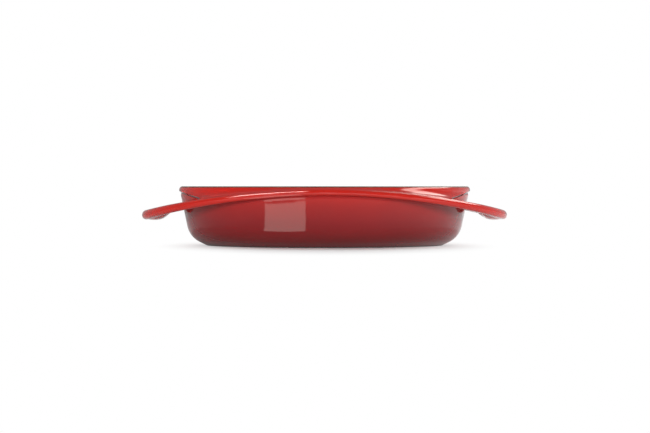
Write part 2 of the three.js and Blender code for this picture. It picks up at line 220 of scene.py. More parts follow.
WINDOW_BOW = (-0.0016, -0.0038, 0)      # how far the middle of its far edge stands out
WINDOW_RADIANCE = 2.8
WINDOW_EDGES = (0.06, 0.05)     # shares of its length and width that a card's edges fade over
RIBBON_EDGES = (0.12, 0.25)
FLOOR_HALF = 3              # from the middle of the floor to a side
FLOOR_FADE = (0.13, 0.42)   # where the floor turns to plain white, in front and behind
FLOOR_SIDES = 2.6           # how much sooner at the sides
FLOOR_SPAN = 0.4            # to the left and right, between which it goes through the mirrored stops
FLOOR_MIRRORED = (          # its colour where a gloss mirrors it
    (0.0, (0.25, 0.25, 0.25)),
    (0.15, (0.28, 0.28, 0.28)),
    (0.31, (0.6, 0.6, 0.6)),
    (0.50, (0.8, 0.8, 0.8)),
    (0.70, (0.75, 0.75, 0.75)),
    (0.85, (0.5, 0.5, 0.5)),
)
FLOOR_LIFT = 0.08           # white that is added to that all over
FLOOR_LIFT_FRONT = 1.2      # more of it in front
FLOOR_LIFT_REACH = (-0.21, -0.4)    # y where that starts, and where it is whole
FLOOR_LIFT_RIGHT = 0.20     # and on the right
FLOOR_LIFT_SIDE = (0.0, 0.2)        # x where that starts, and where it is whole
FLOOR_SINK = 0.0001         # from the dish down to the floor
WHITE = (1, 1, 1, 1)
CARD_COLOUR = (1, 0.88, 0.82, 1)
FLOOR_COLOUR = (0.88, 0.86, 0.86, 1)


# Signed distances

def rounded(first, second, radius, facing=0.0):
    """Where two solids overlap, with a round edge. Facing is the cosine between their faces' normals."""
    u = first + radius
    v = second + radius
    on_edge = (u > facing * v) & (v > facing * u)
    spread = np.sqrt(np.maximum(u * u + v * v - 2 * facing * u * v, 0))
    return np.where(on_edge, spread / math.sqrt(1 - facing**2) - radius, np.maximum(first, second))


def joined(first, second, radius, facing=0.0):
    """Two solids in one, with a round hollow between them."""
    return -rounded(-first, -second, radius, facing)


def lerp(low, high, share):
    return low + (high - low) * share


def eased(share):
    """From 0 to 1 with level ends."""
    held = np.clip(share, 0, 1)
    return held * held * (3 - 2 * held)


WALL_TOP = (RIM_RADIUS - LIP_OVERHANG, HEIGHT - LIP_HEIGHT)


def wall_radius(z):
    return WALL_TOP[0] + (z - WALL_TOP[1]) * math.tan(math.radians(WALL_DRAFT))


def bowl_distance(r, z):
    """Bowl with its well filled, and open-ended under the base."""
    draft = math.radians(WALL_DRAFT)
    rise = math.radians(BEVEL_ANGLE)
    bevel = (r - BASE_RADIUS) * math.sin(rise) - z * math.cos(rise)
    wall = (r - WALL_TOP[0]) * math.cos(draft) - (z - WALL_TOP[1]) * math.sin(draft)
    slant = math.sqrt(0.5)  # the lip's underside leans at 45 degrees
    under_lip = (r - WALL_TOP[0] - z + WALL_TOP[1]) * slant
    body = rounded(bevel, wall, CORNER_RADIUS, math.sin(draft + rise))
    lipped = rounded(np.minimum(body, under_lip), r - RIM_RADIUS, LIP_ROUND, slant)
    groove_z = WALL_TOP[1] - GROOVE_DROP
    groove_r = wall_radius(groove_z) + GROOVE_RADIUS - GROOVE_DEPTH
    groove = GROOVE_RADIUS - np.hypot(r - groove_r, z - groove_z)
    return rounded(rounded(lipped, groove, GROOVE_EDGE), z - HEIGHT, LIP_TOP_ROUND)


def arch_share(x):
    """How far the wing has dropped, from 0 in the middle to 1 at the tips."""
    return (x / HALF_LENGTH) ** 2


def wing_top(x):
    bend = TIP_BEND * eased((x - TIP_BEND_START) / (HALF_LENGTH - TIP_BEND_START))
    return HEIGHT - WING_SET_DOWN - TIP_DROP * arch_share(x) - bend


def wing_thickness(x):
    return lerp(CROWN_THICKNESS, TIP_THICKNESS, arch_share(x))


def wing_bottom(x):
    return wing_top(x) - wing_thickness(x)


def edge_round(x):
    """Round of the wing's upper edges."""
    return np.minimum(EDGE_ROUND, EDGE_SHARE * wing_thickness(x))


def under_round(x):
    """Round of the wing's lower edges."""
    along = (x - UNDER_ROUND_START) / (HALF_LENGTH - UNDER_ROUND_START)
    return lerp(UNDER_ROUND, TIP_UNDER_ROUND, eased(along))


def root_hollow(x):
    """Radius of the hollow between the wing and the rim lip."""
    return np.clip(HEIGHT + ROOT_RISE - wing_top(x), ROOT_LEAST, ROOT_FILLET)


def ellipse_distance(x, y, half_x, half_y):
    """Distance from an ellipse about the middle, true close to it."""
    reach = np.hypot(x / half_x, y / half_y)
    return reach * (reach - 1) / np.hypot(x / half_x**2, y / half_y**2)


def wing_distance(x, y, z):
    """The arched wing without its slots."""
    top_slope = 2 * TIP_DROP * x / HALF_LENGTH**2
    bottom_slope = top_slope + 2 * (TIP_THICKNESS - CROWN_THICKNESS) * x / HALF_LENGTH**2
    above = (z - wing_top(x)) / np.hypot(1, top_slope)
    below = (wing_bottom(x) - z) / np.hypot(1, bottom_slope)
    plan = ellipse_distance(x, y, HALF_LENGTH, HALF_WIDTH)
    return rounded(rounded(plan, above, edge_round(x)), below, under_round(x))


def find_slot_end():
    """Centre of a slot's round end, which touches the grip's inner edge and the slot's inner side."""
    half_x = HALF_LENGTH - GRIP_WIDTH
    half_y = HALF_WIDTH - GRIP_ROOT_WIDTH
    angle = np.linspace(0, math.pi / 2, SLOT_END_STEPS + 1)
    out = np.array([np.cos(angle) / half_x, np.sin(angle) / half_y])
    out = out / np.hypot(out[0], out[1])
    centre = np.array([half_x * np.cos(angle), half_y * np.sin(angle)]) - SLOT_END_RADIUS * out
    stop = np.argmax(np.hypot(centre[0], centre[1]) < SLOT_INSIDE + SLOT_END_RADIUS)
    across = out[:, stop] + centre[:, stop] / np.hypot(*centre[:, stop])
    across = across / np.hypot(*across)
    return centre[:, stop], np.array([-across[1], across[0]])


SLOT_END, SLOT_END_WAY = find_slot_end()


def slot_plan(x, y, r):
    """A finger slot from above."""
    past = (x - SLOT_END[0]) * SLOT_END_WAY[0] + (y - SLOT_END[1]) * SLOT_END_WAY[1]
    grip_side = ellipse_distance(x, y, HALF_LENGTH - GRIP_WIDTH, HALF_WIDTH - GRIP_ROOT_WIDTH)
    crescent = np.maximum(grip_side, SLOT_INSIDE - r)
    end = np.hypot(x - SLOT_END[0], y - SLOT_END[1]) - SLOT_END_RADIUS
    return np.where(past > 0, end, crescent)


def apron_bottom(x):
    """Height of the hollow's edge along a slot, which climbs from the wing to the lip."""
    climb = np.minimum((x - SLOT_END[0]) / (RIM_RADIUS - SLOT_END[0]), 1)
    bottom = lerp(wing_top(SLOT_END[0]), HEIGHT - LIP_HEIGHT, climb)
    return np.maximum(bottom, wing_top(x) - APRON_EDGE)


def slot_distance(x, y, z, r, bowl):
    """What a finger slot takes out of the wing, clear of the bowl and of the apron along its lip."""
    plan = slot_plan(x, y, r)
    bottom = apron_bottom(x)
    bend = root_hollow(x)
    sink = np.clip(wing_top(x) + bend - bottom - APRON_EDGE, 0, bend)
    reach = RIM_RADIUS + bend - np.sqrt(bend**2 - sink**2)
    apron = rounded(bottom - z, r - reach, APRON_ROUND)
    return rounded(np.maximum(plan, -apron), -bowl, SLOT_FILLET)


def swell_distance(x, y, z):
    """The swelling that fills in under a sloping grip, with a level underside."""
    half = SWELL_WIDTH / 2
    middle = GRIP_WIDTH - SWELL_INSET - half
    root = wing_bottom(HALF_LENGTH - GRIP_WIDTH) + SWELL_ROOT
    level = wing_bottom(HALF_LENGTH - middle) - SWELL_DEPTH
    along = np.minimum(y / SWELL_HALF_LENGTH, 1)
    depth = lerp(SWELL_END, root - level, np.sqrt(np.cos(along * math.pi / 2)))
    across = (ellipse_distance(x, y, HALF_LENGTH, HALF_WIDTH) + middle) / half
    down = np.maximum(root - z, 0) / depth
    value = across**2 + down**SWELL_POWER - 1
    steep = np.hypot(2 * across / half, SWELL_POWER * down ** (SWELL_POWER - 1) / depth)
    ends = np.maximum(z - root, y - SWELL_HALF_LENGTH)
    return np.maximum(value / np.maximum(steep, 1 / half), ends)


def dish_distance(place):
    """The whole outside of the dish, as a solid with its well filled."""
    x = np.abs(place[0])
    y = np.abs(place[1])
    z = place[2]
    r = np.hypot(x, y)
    bowl = bowl_distance(r, z)
    half_thickness = wing_thickness(x) / 2
    upper = eased((z - wing_top(x)) / half_thickness + 1)
    under = lerp(UNDER_FILLET_END, UNDER_FILLET, eased(slot_plan(x, y, r) / UNDER_FADE))
    hollow = lerp(under, root_hollow(x), upper)
    behind = np.maximum(wing_top(x) - APRON_ROOT - z, z - WALL_TOP[1] - APRON_ROOT)
    apron = np.maximum(r - RIM_RADIUS, behind)
    body = joined(np.minimum(bowl, apron), wing_distance(x, y, z), hollow)
    edge = np.clip(SLOT_EDGE_RISE * bowl, 0, edge_round(x))
    slotted = rounded(body, -slot_distance(x, y, z, r, bowl), edge)
    return joined(slotted, swell_distance(x, y, z), SWELL_FILLET)


def painted_crevice_shade(place):
    """Where shade is painted: 1 in the corner between the wall and the hollow's edge over a slot, and 0
    away from it.
    """
    x = np.abs(place[0])
    y = np.abs(place[1])
    r = np.hypot(x, y)
    bowl = bowl_distance(r, place[2])
    down = np.abs(apron_bottom(x) - place[2])
    near = eased(2 * (1 - np.hypot(down, bowl) / CREVICE))
    within_slot = eased((CREVICE_FADE - slot_plan(x, y, r)) / (2 * CREVICE_FADE))
    return near * within_slot


def steepest(place):
    """Unit normals of the outside at each place."""
    slope = np.empty_like(place)
    for axis in range(3):
        shift = np.zeros((3, 1))
        shift[axis] = PROBE
        slope[axis] = dish_distance(place + shift) - dish_distance(place - shift)
    return slope / np.maximum(np.linalg.norm(slope, axis=0), TINY)


def curvature(place):
    """Sum of both curvatures of the outside, per millimetre: above 0 on an edge, below 0 in a hollow."""
    total = np.zeros(place.shape[1])
    for axis in range(3):
        shift = np.zeros((3, 1))
        shift[axis] = CURVE_PROBE
        change = steepest(place + shift)[axis] - steepest(place - shift)[axis]
        total += change / (2 * CURVE_PROBE)
    return total


# Exterior coat

def grid_places():
    """A grid that goes round the dish, out from its axis and up, and bends with the wing's arch."""
    fine = np.linspace(0, 2 * math.pi, HEADING_STEPS + 1)
    folded = np.degrees(np.arccos(np.abs(np.cos(fine))))
    density = 1 + SLOT_END_DENSITY * np.exp(-(((folded - SLOT_END_HEADING) / SLOT_END_SPREAD) ** 2))
    count = np.concatenate([[0], np.cumsum((density[1:] + density[:-1]) / 2)])
    heading = np.interp(np.arange(HEADINGS) / HEADINGS * count[-1], count, fine)[:, None]
    wing_edge = 1 / np.hypot(np.cos(heading) / HALF_LENGTH, np.sin(heading) / HALF_WIDTH)
    inner = np.concatenate([np.linspace(*WALL_RINGS), np.linspace(*LIP_RINGS)])
    share = np.arange(1, WING_RINGS + 1) / WING_RINGS
    outer = lerp(LIP_RINGS[1], wing_edge + WING_MARGIN, share)
    ring = np.concatenate([np.broadcast_to(inner, (HEADINGS, len(inner))), outer], axis=1)
    level = np.concatenate([np.linspace(*WALL_LEVELS), np.linspace(*WING_LEVELS)])
    x = (ring * np.cos(heading))[:, :, None] + 0 * level
    y = (ring * np.sin(heading))[:, :, None] + 0 * level
    bend = eased((ring - ARCH_START) / (ARCH_END - ARCH_START))[:, :, None]
    return np.array([x, y, level - TIP_DROP * arch_share(x) * bend])


def skin_of(place, field):
    """Vertices and quads of the surface where a field on such a grid is 0.

    Each cell that the surface passes through has one vertex, in the middle of the crossings on its edges.
    Each crossing has one quad, between the four cells that meet at its edge.
    """
    rounds, rings, levels = field.shape
    cells = (rounds, rings - 1, levels - 1)
    total = np.zeros((math.prod(cells), 3))
    count = np.zeros(math.prod(cells))
    quads = []
    for axis in range(3):
        near = field if axis == 0 else np.delete(field, -1, axis)
        far = np.roll(field, -1, axis) if axis == 0 else np.delete(field, 0, axis)
        at = np.argwhere((near < 0) != (far < 0))
        step = np.eye(3, dtype=int)[axis]
        to = (at + step) % field.shape
        share = near[tuple(at.T)] / (near[tuple(at.T)] - far[tuple(at.T)])
        start = place[:, at[:, 0], at[:, 1], at[:, 2]]
        end = place[:, to[:, 0], to[:, 1], to[:, 2]]
        crossing = lerp(start, end, share).T
        second, third = np.eye(3, dtype=int)[[(axis + 1) % 3, (axis + 2) % 3]]
        corners = np.array([-second - third, -third, 0 * third, -second])
        round_edge = at[:, None, :] + corners[None]
        round_edge[..., 0] %= rounds
        held = np.all((round_edge >= 0) & (round_edge < cells), axis=2)
        nearest = np.clip(round_edge, 0, np.array(cells) - 1)
        flat = np.ravel_multi_index(np.moveaxis(nearest, 2, 0), cells)
        for corner in range(4):
            keep = held[:, corner]
            np.add.at(total, flat[keep, corner], crossing[keep])
            np.add.at(count, flat[keep, corner], 1)
        whole = held.all(axis=1)
        outward = near[tuple(at.T)] > 0
        turned = np.where(outward[:, None], flat, flat[:, ::-1])
        quads.append(turned[whole])
    used = np.flatnonzero(count)
    number = np.zeros(len(count), int)
    number[used] = np.arange(len(used))
    return total[used] / count[used, None], number[np.concatenate(quads)]


def settled(place):
    """Places moved onto the outside of the dish."""
    for _ in range(SETTLE_PASSES):
        place = place - dish_distance(place) * steepest(place)
    return place


def new_piece(name, data):
    piece = bpy.data.objects.new(name, data)
    bpy.context.scene.collection.objects.link(piece)
    return piece


def trimmed_skin():
    """The outside of the dish between the base coat and the rim coat, as a bmesh in millimetres."""
    place = grid_places()
    points, quads = skin_of(place, dish_distance(place.reshape(3, -1)).reshape(place.shape[1:]))
    mesh = bpy.data.meshes.new("skin")
    mesh.from_pydata(settled(points.T).T.tolist(), [], quads.tolist())
    skin = bmesh.new()
    skin.from_mesh(mesh)
    bpy.data.meshes.remove(mesh)
    base_cut = BASE_LAP * math.tan(math.radians(BEVEL_ANGLE)) + SEAM
    for level, way in ((HEIGHT - RIM_BAND - SEAM, 1), (base_cut, -1)):
        parts = skin.verts[:] + skin.edges[:] + skin.faces[:]
        bmesh.ops.bisect_plane(
            skin, geom=parts, plane_co=(0, 0, level), plane_no=(0, 0, way), clear_outer=True
        )
    skin.verts.index_update()
    return skin


def shell_faces(skin):
    """Faces of a skin's front, of its back and of the border between, with the back's vertices second."""
    count = len(skin.verts)
    front = [[vert.index for vert in face.verts] for face in skin.faces]
    back = [[count + index for index in reversed(face)] for face in front]
    border = []
    for edge in skin.edges:
        if edge.is_boundary:
            loop = edge.link_loops[0]
            start = loop.vert.index
            end = loop.link_loop_next.vert.index
            border.append([end, start, count + start, count + end])
    return front, back, border


def store(mesh, name, values):
    """A value at each vertex of the front, and the same at the back, for the finish to read."""
    attribute = mesh.attributes.new(name, "FLOAT", "POINT")
    attribute.data.foreach_set("value", np.tile(values, 2))


def exterior_enamel(finish):
    """The red coat: a thin closed shell over the wall, the wing and the handles."""
    skin = trimmed_skin()
    front, back, border = shell_faces(skin)
    outer = np.array([vert.co for vert in skin.verts]).T
    skin.free()
    normal = steepest(outer)
    points = np.concatenate([outer, outer - COAT * normal], axis=1) * MM
    mesh = bpy.data.meshes.new("exterior_enamel_coat")
    mesh.from_pydata(points.T.tolist(), [], front + back + border)
    ways = np.concatenate([normal, -normal], axis=1)
    normals = [ways[:, index] for face in front + back for index in face]
    for polygon in list(mesh.polygons)[-len(border):]:
        normals += [polygon.normal] * len(polygon.vertices)
    mesh.shade_smooth()
    mesh.normals_split_custom_set([tuple(way) for way in normals])
    beside_bowl = bowl_distance(np.hypot(outer[0], outer[1]), outer[2])
    # rise: from the base up the wall, and 1 out on the wing; it carries the red's ombré and its painted
    # shade
    rise = np.maximum(outer[2] / WALL_TOP[1], eased(beside_bowl / ROOT_FILLET))
    store(mesh, "bend", np.clip(curvature(outer), -1, 1))
    store(mesh, "rise", np.clip(rise, 0, 1))
    # where shade is painted near-black in the crevice over each slot
    store(mesh, "painted_crevice_shade", painted_crevice_shade(outer))
    mesh.materials.append(finish)
    return new_piece("exterior_enamel_coat", mesh)


# Nodes

def add(tree, kind, values=None, **settings):
    """A node with its settings, and with its inputs set to values or linked to other nodes' outputs."""
    node = tree.nodes.new(kind)
    for name, setting in settings.items():
        setattr(node, name, setting)
    for socket, value in (values or {}).items():
        if isinstance(value, bpy.types.NodeSocket):
            tree.links.new(value, node.inputs[socket])
        else:
            node.inputs[socket].default_value = value
    return node


def sums(tree, operation, first, second):
    return add(tree, "ShaderNodeMath", {0: first, 1: second}, operation=operation).outputs[0]


def noise(tree, place, scale, detail):
    values = {"Vector": place, "Scale": scale, "Detail": detail}
    return add(tree, "ShaderNodeTexNoise", values).outputs[0]


def ranged(tree, value, start, end):
    """A value as a share of the way from start to end, with level ends."""
    values = {"Value": value, "From Min": start, "From Max": end}
    return add(tree, "ShaderNodeMapRange", values, interpolation_type="SMOOTHSTEP").outputs[0]


def between(tree, share, first, second):
    """A value between two values."""
    return add(tree, "ShaderNodeMapRange", {"Value": share, "To Min": first, "To Max": second}).outputs[0]


def mixed(tree, share, first, second):
    """A colour between two colours."""
    return add(tree, "ShaderNodeMix", {0: share, 6: first, 7: second}, data_type="RGBA").outputs[2]


def blended(tree, share, first, second):
    """A shader between two shaders."""
    return add(tree, "ShaderNodeMixShader", {0: share, 1: first, 2: second}).outputs[0]


def glowing(tree, colour, strength):
    return add(tree, "ShaderNodeEmission", {"Color": colour, "Strength": strength}).outputs[0]


def graded(tree, share, stops):
    """A colour that follows a share through stops of position and colour."""
    node = add(tree, "ShaderNodeValToRGB", {"Fac": share})
    ramp = node.color_ramp
    while len(ramp.elements) < len(stops):
        ramp.elements.new(1.0)
    for element, (position, colour) in zip(ramp.elements, stops):
        element.position = position
        element.color = (*colour, 1)
    return node.outputs["Color"]


# Turned coats

def turned_tree():
    """Geometry nodes that turn a section about the upright axis. The section's x is its radius."""
    tree = bpy.data.node_groups.new("turned_coat", "GeometryNodeTree")
    inputs = {
        "Section": "NodeSocketGeometry", "Path Radius": "NodeSocketFloat", "Segments": "NodeSocketInt",
        "Weld": "NodeSocketFloat", "Finish": "NodeSocketMaterial",
    }
    for name, kind in inputs.items():
        tree.interface.new_socket(name, in_out="INPUT", socket_type=kind)
    tree.interface.new_socket("Coat", in_out="OUTPUT", socket_type="NodeSocketGeometry")
    given = add(tree, "NodeGroupInput").outputs
    path = add(tree, "GeometryNodeCurvePrimitiveCircle", {
        "Radius": given["Path Radius"], "Resolution": given["Segments"],
    })
    upright = add(tree, "GeometryNodeSetCurveNormal", {"Curve": path.outputs["Curve"]}, mode="Z_UP")
    swept = add(tree, "GeometryNodeCurveToMesh", {
        "Curve": upright.outputs["Curve"], "Profile Curve": given["Section"],
    })
    welded = add(tree, "GeometryNodeMergeByDistance", {
        "Geometry": swept.outputs["Mesh"], "Distance": given["Weld"],
    })
    real = add(tree, "GeometryNodeRealizeInstances", {"Geometry": welded.outputs["Geometry"]})
    painted = add(tree, "GeometryNodeSetMaterial", {
        "Geometry": real.outputs["Geometry"], "Material": given["Finish"],
    })
    add(tree, "NodeGroupOutput", {"Coat": painted.outputs["Geometry"]})
    return tree


def turned_coat(name, tree, section, closed, finish):
    """A coat turned from a section of radius and height, in millimetres."""
    path_radius = RIM_RADIUS * MM
    curve = bpy.data.curves.new(name, "CURVE")
    curve.dimensions = "3D"
    line = curve.splines.new("POLY")
    line.points.add(len(section) - 1)
    for point, (r, z) in zip(line.points, section):
        point.co = (r * MM - path_radius, -z * MM, 0, 1)
    line.use_cyclic_u = closed
    maker = new_piece(name, curve)
    modifier = maker.modifiers.new("turned", "NODES")
    modifier.node_group = tree
    values = {"Path Radius": path_radius, "Segments": TURNED_SEGMENTS, "Weld": WELD, "Finish": finish}
    for socket in tree.interface.items_tree:
        if socket.name in values:
            modifier[socket.identifier] = values[socket.name]
    made = maker.evaluated_get(bpy.context.evaluated_depsgraph_get())
    mesh = bpy.data.meshes.new_from_object(made)
    mesh.name = name
    maker.modifiers.remove(modifier)
    bpy.data.objects.remove(maker)
    bpy.data.curves.remove(curve)
    mesh.shade_smooth()
    mesh.set_sharp_from_angle(angle=math.radians(SHARP_ANGLE))
    return new_piece(name, mesh)


def arc(centre, radius, start, end):
    """Points on an arc, with angles in degrees from level outwards, anticlockwise."""
    steps = max(2, round(abs(end - start) / ARC_STEP))
    angles = np.radians(np.linspace(start, end, steps + 1))
    return [(centre[0] + radius * math.cos(a), centre[1] + radius * math.sin(a)) for a in angles]


def well_radius(z):
    return WELL_RADIUS + (z - WALL_TOP[1]) * math.tan(math.radians(WELL_DRAFT))


def well_line(inset):
    """The well's surface moved into the wall: from under the rim down to the middle of the floor."""
    draft = math.radians(WELL_DRAFT)
    rise = math.radians(BEVEL_ANGLE)
    wall_out = np.array([math.cos(draft), -math.sin(draft)])
    bevel_out = np.array([math.sin(rise), -math.cos(rise)])
    floor_out = np.array([0.0, -1.0])
    wall_reach = wall_out @ np.array([well_radius(0), 0]) + inset
    bevel_reach = bevel_out @ np.array([BASE_RADIUS, 0]) - BEVEL_THICKNESS + inset
    floor_reach = inset - WELL_FLOOR
    corner = WELL_CORNER_RADIUS + inset
    floor_round = WELL_FLOOR_ROUND + inset
    upper = np.linalg.solve([wall_out, bevel_out], np.array([wall_reach, bevel_reach]) - corner)
    lower = np.linalg.solve([bevel_out, floor_out], np.array([bevel_reach, floor_reach]) - floor_round)
    top = HEIGHT - WELL_BAND - SEAM
    return [
        (well_radius(top) + inset / math.cos(draft), top),
        *arc(upper, corner, -WELL_DRAFT, BEVEL_ANGLE - 90),
        *arc(lower, floor_round, BEVEL_ANGLE - 90, -90),
        (0, WELL_FLOOR - inset),
    ]


def interior_enamel(tree, finish):
    """The black lining of the well."""
    section = well_line(0)[::-1] + well_line(COAT)
    return turned_coat("interior_enamel_coat", tree, section, False, finish)


def rim_line(inset):
    """The rim's surface moved into the iron: from the lip's face over the top and into the well."""
    draft = math.radians(WELL_DRAFT)
    slant = math.tan((math.pi / 2 - draft) / 2)
    start = math.degrees(math.asin(1 - RIM_BAND / LIP_TOP_ROUND))
    outside = (RIM_RADIUS - LIP_TOP_ROUND, HEIGHT - LIP_TOP_ROUND)
    inside = (well_radius(HEIGHT) + RIM_ROUND * slant, HEIGHT - RIM_ROUND)
    bottom = HEIGHT - WELL_BAND
    return [
        *arc(outside, LIP_TOP_ROUND - inset, start, 90),
        *arc(inside, RIM_ROUND - inset, 90, 180 - WELL_DRAFT),
        (well_radius(bottom) + inset / math.cos(draft), bottom),
    ]


def rim_enamel(tree, finish):
    """The dark ground coat on top of the rim."""
    section = rim_line(0)[::-1] + rim_line(COAT)
    return turned_coat("rim_enamel_coat", tree, section, True, finish)


def base_line(inset):
    """The underside moved up into the iron: from the middle of the flat out to the bevel."""
    rise = math.radians(BEVEL_ANGLE)
    middle = (BASE_RADIUS - BASE_EDGE_ROUND * math.tan(rise / 2), BASE_EDGE_ROUND)
    end = (BASE_RADIUS + BASE_LAP, BASE_LAP * math.tan(rise) + inset / math.cos(rise))
    return [(0, inset), *arc(middle, BASE_EDGE_ROUND - inset, -90, BEVEL_ANGLE - 90), end]


def base_enamel(tree, finish):
    """The dark coat under the dish."""
    section = base_line(COAT) + base_line(0)[::-1]
    return turned_coat("base_enamel_coat", tree, section, False, finish)


# Finishes

def shader_group(name, inputs, outputs):
    """A node group with float inputs and outputs, besides a vector input named Place."""
    tree = bpy.data.node_groups.new(name, "ShaderNodeTree")
    tree.interface.new_socket("Place", in_out="INPUT", socket_type="NodeSocketVector")
    for socket in inputs:
        tree.interface.new_socket(socket, in_out="INPUT", socket_type="NodeSocketFloat")
    for socket in outputs:
        tree.interface.new_socket(socket, in_out="OUTPUT", socket_type="NodeSocketFloat")
    return tree, add(tree, "NodeGroupInput").outputs


def fired_surface():
    """Slow ripples of the casting and the fine orange peel of fired enamel, as a height in metres."""
    inputs = ["Ripples per Metre", "Ripple Height", "Peel per Metre", "Peel Height"]
    tree, given = shader_group("fired_surface", inputs, ["Height"])
    slow = noise(tree, given["Place"], given["Ripples per Metre"], detail=1.0)
    fine = noise(tree, given["Place"], given["Peel per Metre"], detail=2.0)
    ripples = sums(tree, "MULTIPLY", slow, given["Ripple Height"])
    peel = sums(tree, "MULTIPLY", fine, given["Peel Height"])
    add(tree, "NodeGroupOutput", {"Height": sums(tree, "ADD", ripples, peel)})
    return tree


def kiln_mottle():
    """Cloudy patches of thicker and thinner glaze, from 0 to 1, about 0.5."""
    tree, given = shader_group("kiln_mottle", ["Patches per Metre", "Clouds per Metre"], ["Share"])
    patches = noise(tree, given["Place"], given["Patches per Metre"], detail=3.0)
    clouds = noise(tree, given["Place"], given["Clouds per Metre"], detail=2.0)
    both = sums(tree, "ADD", patches, clouds)
    add(tree, "NodeGroupOutput", {"Share": sums(tree, "MULTIPLY", both, 0.5)})
    return tree


def fine_specks():
    """Small dark pits and specks, 1 in the middle of each."""
    tree, given = shader_group("fine_specks", ["Specks per Metre", "Size"], ["Mask"])
    cells = add(tree, "ShaderNodeTexVoronoi", {
        "Vector": given["Place"], "Scale": given["Specks per Metre"], "Randomness": 1.0,
    })
    near = sums(tree, "LESS_THAN", cells.outputs["Distance"], given["Size"])
    chosen = add(tree, "ShaderNodeSeparateColor", {"Color": cells.outputs["Color"]}).outputs[0]
    rare = sums(tree, "GREATER_THAN", chosen, CLEAR_SHARE)
    add(tree, "NodeGroupOutput", {"Mask": sums(tree, "MULTIPLY", near, rare)})
    return tree


SURFACE = fired_surface()
MOTTLE = kiln_mottle()
SPECKS = fine_specks()


def new_finish(name, **constants):
    """A material with its shader's plain values set, its node tree, shader and object coordinates."""
    material = bpy.data.materials.new(name)
    material.use_nodes = True
    tree = material.node_tree
    shader = tree.nodes["Principled BSDF"]
    for socket, value in constants.items():
        shader.inputs[socket.replace("_", " ")].default_value = value
    return material, tree, shader, add(tree, "ShaderNodeTexCoord").outputs["Object"]


def grouped(tree, group, place, **values):
    """The output of a node group that is placed in a material with its own values."""
    sockets = {name.replace("_", " "): value for name, value in values.items()}
    return add(tree, "ShaderNodeGroup", {"Place": place, **sockets}, node_tree=group).outputs[0]


def roughened(tree, shader, mask, least, spread):
    """Roughness of a finish: least where a mask is 0, and more by the spread where it is 1."""
    rough = sums(tree, "ADD", sums(tree, "MULTIPLY", mask, spread), least)
    tree.links.new(rough, shader.inputs["Roughness"])


def textured(tree, shader, place, **values):
    """Normals of a finish, from the ripples and the peel of its surface."""
    height = grouped(tree, SURFACE, place, **values)
    bump = add(tree, "ShaderNodeBump", {"Strength": 1.0, "Distance": 1.0, "Height": height})
    tree.links.new(bump.outputs[0], shader.inputs["Normal"])


def red_enamel():
    """Glossy red that deepens to burgundy towards the base, partly the enamel's own ombré and partly
    painted shade; thin on edges, pooled in hollows, and with painted shade in the crevice over each slot.
    """
    finish, tree, shader, place = new_finish("red_enamel", IOR=1.5)
    mottle = grouped(tree, MOTTLE, place, Patches_per_Metre=45.0, Clouds_per_Metre=14.0)
    rise = add(tree, "ShaderNodeAttribute", attribute_name="rise").outputs["Fac"]
    bend = add(tree, "ShaderNodeAttribute", attribute_name="bend").outputs["Fac"]
    uneven = sums(tree, "MULTIPLY", sums(tree, "SUBTRACT", mottle, 0.5), UNEVEN)
    # the ombré, partly painted shade and light, follows the rise
    red = graded(tree, sums(tree, "ADD", rise, uneven), RED_OMBRE_AND_PAINTED_SHADE_STOPS)
    thin = sums(tree, "MULTIPLY", ranged(tree, bend, *THIN_BENDS), THIN_SHARE)
    pooled = sums(tree, "MULTIPLY", ranged(tree, bend, *POOLED_BENDS), POOLED_SHARE)
    drawn = mixed(tree, pooled, mixed(tree, thin, red, THIN_RED), POOLED_RED)
    # painted shade: the red turns near-black in the crevice where the wall meets the hollow's edge over a
    # slot
    corner = add(tree, "ShaderNodeAttribute", attribute_name="painted_crevice_shade").outputs["Fac"]
    tree.links.new(mixed(tree, corner, drawn, CREVICE_PAINTED_SHADE), shader.inputs["Base Color"])
    roughened(tree, shader, mottle, least=0.0, spread=0.12)
    textured(
        tree, shader, place,
        Ripples_per_Metre=115.0, Ripple_Height=4.5e-5, Peel_per_Metre=700.0, Peel_Height=8e-7,
    )
    return finish


def black_enamel():
    """Satin black of the well, faintly pebbled."""
    finish, tree, shader, place = new_finish("black_enamel", IOR=1.5)
    mottle = grouped(tree, MOTTLE, place, Patches_per_Metre=60.0, Clouds_per_Metre=18.0)
    specks = grouped(tree, SPECKS, place, Specks_per_Metre=420.0, Size=0.2)
    black = mixed(tree, mottle, SOOT_BLACK, WARM_BLACK)
    tree.links.new(mixed(tree, specks, black, GREY_SPECK), shader.inputs["Base Color"])
    roughened(tree, shader, mottle, least=0.3, spread=0.25)
    textured(
        tree, shader, place,
        Ripples_per_Metre=70.0, Ripple_Height=2e-5, Peel_per_Metre=1100.0, Peel_Height=1.2e-5,
    )
    return finish


def rim_finish():
    """Thin dark ground coat on the rim, rubbed and specked."""
    finish, tree, shader, place = new_finish("rim_enamel", IOR=1.35)
    mottle = grouped(tree, MOTTLE, place, Patches_per_Metre=160.0, Clouds_per_Metre=40.0)
    specks = grouped(tree, SPECKS, place, Specks_per_Metre=1300.0, Size=0.22)
    dark = mixed(tree, ranged(tree, mottle, *RUBBED), RIM_DARK, RIM_PALE)
    tree.links.new(mixed(tree, specks, dark, SOOT_BLACK), shader.inputs["Base Color"])
    roughened(tree, shader, mottle, least=0.4, spread=0.3)
    textured(
        tree, shader, place,
        Ripples_per_Metre=120.0, Ripple_Height=2e-5, Peel_per_Metre=1500.0, Peel_Height=6e-6,
    )
    return finish


